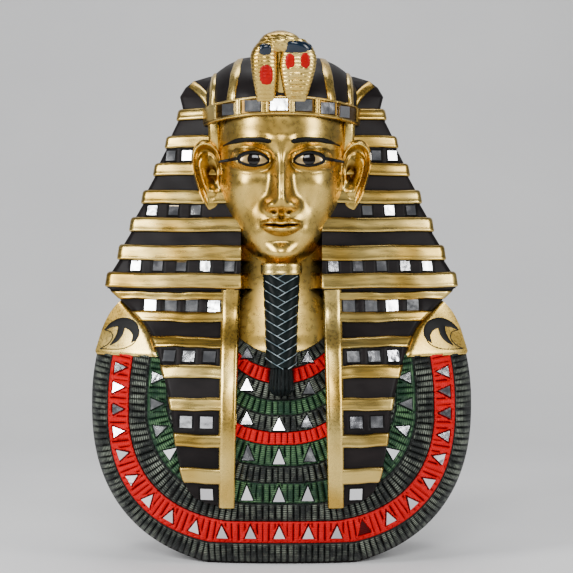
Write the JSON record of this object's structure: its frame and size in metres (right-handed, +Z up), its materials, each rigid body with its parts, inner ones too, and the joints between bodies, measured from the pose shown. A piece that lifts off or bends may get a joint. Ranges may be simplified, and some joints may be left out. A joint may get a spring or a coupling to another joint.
{
  "type": "pharaoh bust",
  "caption": "Cast-resin souvenir bust of a pharaoh in striped headdress, plaited beard and beaded collar, painted gold and set with small mirror tiles.",
  "frame": {"origin": "centre of the bounding box in plan, on the surface that the underside stands on", "axes": "+Z up, the face looks along -Y, +X to the right as seen from the front"},
  "size_m": [0.3446, 0.2275, 0.468],
  "materials": {
    "gold_paint": "satin-gloss metallic gold paint on cast resin, amber in the hollows",
    "charcoal_paint": "satin charcoal paint on cast resin, lightly mottled",
    "red_paint": "bright red paint on cast bead rows, dark in the grooves",
    "green_paint": "dark green paint on cast bead rows, paler on the ridges",
    "black_paint": "black-green paint on cast bead rows, dry-brushed grey on the ridges",
    "gloss_black": "gloss black paint lines, eyes and plait",
    "mirror": "small cut mirror-glass tiles"
  },
  "bodies": {
    "root": {"brow_tile_1": "mirror", "brow_tile_2": "mirror", "brow_tile_3": "mirror", "brow_tile_4": "mirror", "brow_tile_5": "mirror", "brow_tile_6": "mirror", "bust": "gold_paint", "collar_tile_1_1": "mirror", "collar_tile_1_2": "mirror", "collar_tile_1_3": "mirror", "collar_tile_2_1": "mirror", "collar_tile_2_2": "mirror", "collar_tile_2_3": "mirror", "collar_tile_3_1": "mirror", "collar_tile_3_2": "mirror", "collar_tile_3_3": "mirror", "collar_tile_4_1": "mirror", "collar_tile_4_2": "mirror", "collar_tile_5_1": "mirror", "collar_tile_5_2": "mirror", "lappet_tile_left_1_1": "mirror", "lappet_tile_left_1_2": "mirror", "lappet_tile_left_1_3": "mirror", "lappet_tile_left_1_4": "mirror", "lappet_tile_left_2_1": "mirror", "lappet_tile_left_2_2": "mirror", "lappet_tile_left_2_3": "mirror", "lappet_tile_left_3_1": "mirror", "lappet_tile_left_3_2": "mirror", "lappet_tile_left_4_1": "mirror", "lappet_tile_right_1_1": "mirror", "lappet_tile_right_1_2": "mirror", "lappet_tile_right_1_3": "mirror", "lappet_tile_right_1_4": "mirror", "lappet_tile_right_2_1": "mirror", "lappet_tile_right_2_2": "mirror", "lappet_tile_right_2_3": "mirror", "lappet_tile_right_3_1": "mirror", "lappet_tile_right_3_2": "mirror", "lappet_tile_right_4_1": "mirror", "wing_tile_left_1_1": "mirror", "wing_tile_left_1_2": "mirror", "wing_tile_left_2_1": "mirror", "wing_tile_left_2_2": "mirror", "wing_tile_left_2_3": "mirror", "wing_tile_left_3_1": "mirror", "wing_tile_left_3_2": "mirror", "wing_tile_left_3_3": "mirror", "wing_tile_left_3_4": "mirror", "wing_tile_left_3_5": "mirror", "wing_tile_right_1_1": "mirror", "wing_tile_right_1_2": "mirror", "wing_tile_right_2_1": "mirror", "wing_tile_right_2_2": "mirror", "wing_tile_right_2_3": "mirror", "wing_tile_right_3_1": "mirror", "wing_tile_right_3_2": "mirror", "wing_tile_right_3_3": "mirror", "wing_tile_right_3_4": "mirror", "wing_tile_right_3_5": "mirror"}
  },
  "joints": []
}
